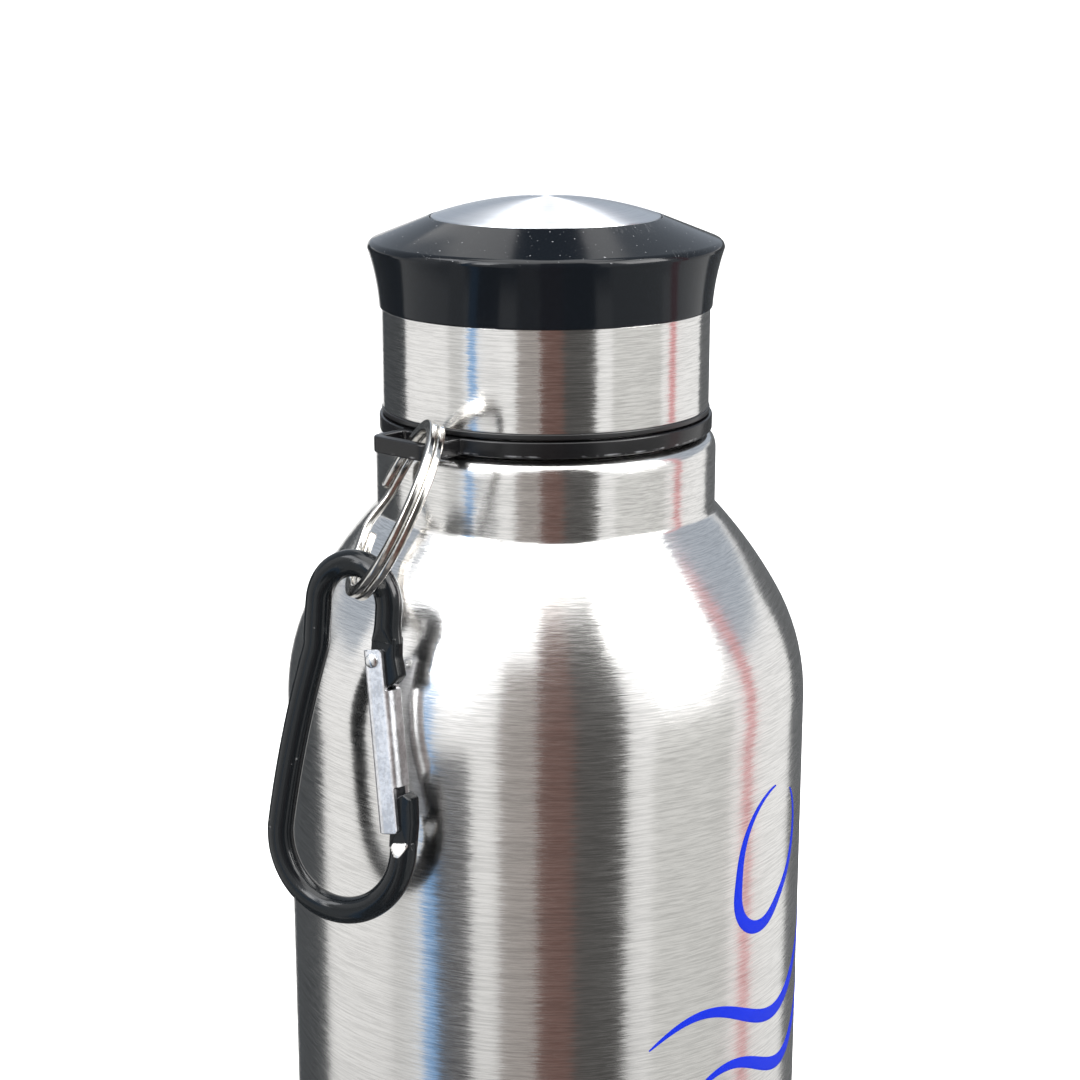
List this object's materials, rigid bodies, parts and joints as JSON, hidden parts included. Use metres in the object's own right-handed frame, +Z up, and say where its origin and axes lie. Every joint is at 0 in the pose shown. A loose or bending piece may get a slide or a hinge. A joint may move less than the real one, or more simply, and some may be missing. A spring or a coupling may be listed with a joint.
{
  "type": "vacuum water bottle",
  "caption": "Double-walled steel bottle with a steel-banded screw lid, loose neck collar, split ring and hanging carabiner.",
  "frame": {"origin": "centre of the standing rim, on the surface that the bottle stands on", "axes": "+Z up along the bottle's axis; the front, with the printed mark, faces -Y; the carabiner hangs at the front left, towards -X and -Y"},
  "size_m": [0.1002, 0.1046, 0.2909],
  "materials": {
    "body_steel": "stainless steel, brushed round the bottle, clear satin",
    "flask_steel": "stainless steel, electropolished inside",
    "base_steel": "stainless steel, spun",
    "getter": "sintered metal, matt grey",
    "solder_glass": "dark glassy seal",
    "cap_black": "glossy black moulded plastic",
    "disc_steel": "stainless steel, spun in circles",
    "band_steel": "stainless steel, brushed round the lid",
    "liner_black": "satin black moulded plastic",
    "foam": "rigid foam, off-white",
    "silicone": "milky silicone",
    "tape": "foam tape",
    "collar_black": "satin black moulded plastic",
    "ring_nickel": "nickel-plated steel",
    "carabiner_black": "black anodised, worn at the nose",
    "gate_metal": "folded bare sheet, rolled finish",
    "rivet_metal": "bare metal",
    "spring_steel": "bright spring wire",
    "print_blue": "blue print on the steel"
  },
  "bodies": {
    "bottle": {"outer_shell": "body_steel", "inner_flask": "flask_steel", "base_cup": "base_steel", "base_cover": "base_steel", "vacuum_seal": "solder_glass", "getter": "getter"},
    "gasket": {"lid_seal": "silicone"},
    "lid": {"lid_liner": "liner_black", "lid_band": "band_steel", "lid_cap": "cap_black", "lid_disc": "disc_steel", "disc_tape": "tape", "lid_foam": "foam"},
    "collar": {"neck_collar": "collar_black"},
    "ring": {"split_ring": "ring_nickel"},
    "carabiner": {"carabiner_frame": "carabiner_black", "gate_rivet": "rivet_metal"},
    "gate": {"carabiner_gate": "gate_metal", "gate_spring": "spring_steel"}
  },
  "joints": [
    {"name": "lid_lift", "type": "slide", "parent": "bottle", "child": "gasket", "axis": [0, 0, 1], "range_m": [0, 0.028]},
    {"name": "lid_turn", "type": "hinge", "parent": "gasket", "child": "lid", "pos_m": [0, 0, 0.26835], "axis": [0, 0, 1], "range_deg": [0, 1260]},
    {"name": "collar_swivel", "type": "hinge", "parent": "bottle", "child": "collar", "pos_m": [0, 0, 0.2493], "axis": [0, 0, 1], "continuous": true},
    {"name": "ring_swing", "type": "hinge", "parent": "collar", "child": "ring", "pos_m": [-0.02679, -0.02759, 0.24849], "axis": [-0.8465, -0.242, -0.4742], "range_deg": [0, 66]},
    {"name": "carabiner_swing", "type": "hinge", "parent": "ring", "child": "carabiner", "pos_m": [-0.03275, -0.03859, 0.227], "axis": [-0.133, 0.9911, 0], "range_deg": [0, 65]},
    {"name": "gate_open", "type": "hinge", "parent": "carabiner", "child": "gate", "pos_m": [-0.02918, -0.04293, 0.2147], "axis": [0.4652, 0.8749, -0.1348], "range_deg": [0, 30], "stiffness_Nm_per_rad": 0.02, "springref_deg": -20.05}
  ],
  "couplings": [
    {"joint": "lid_lift", "follows": "lid_turn", "m_per_rad": 0.0012732}
  ]
}
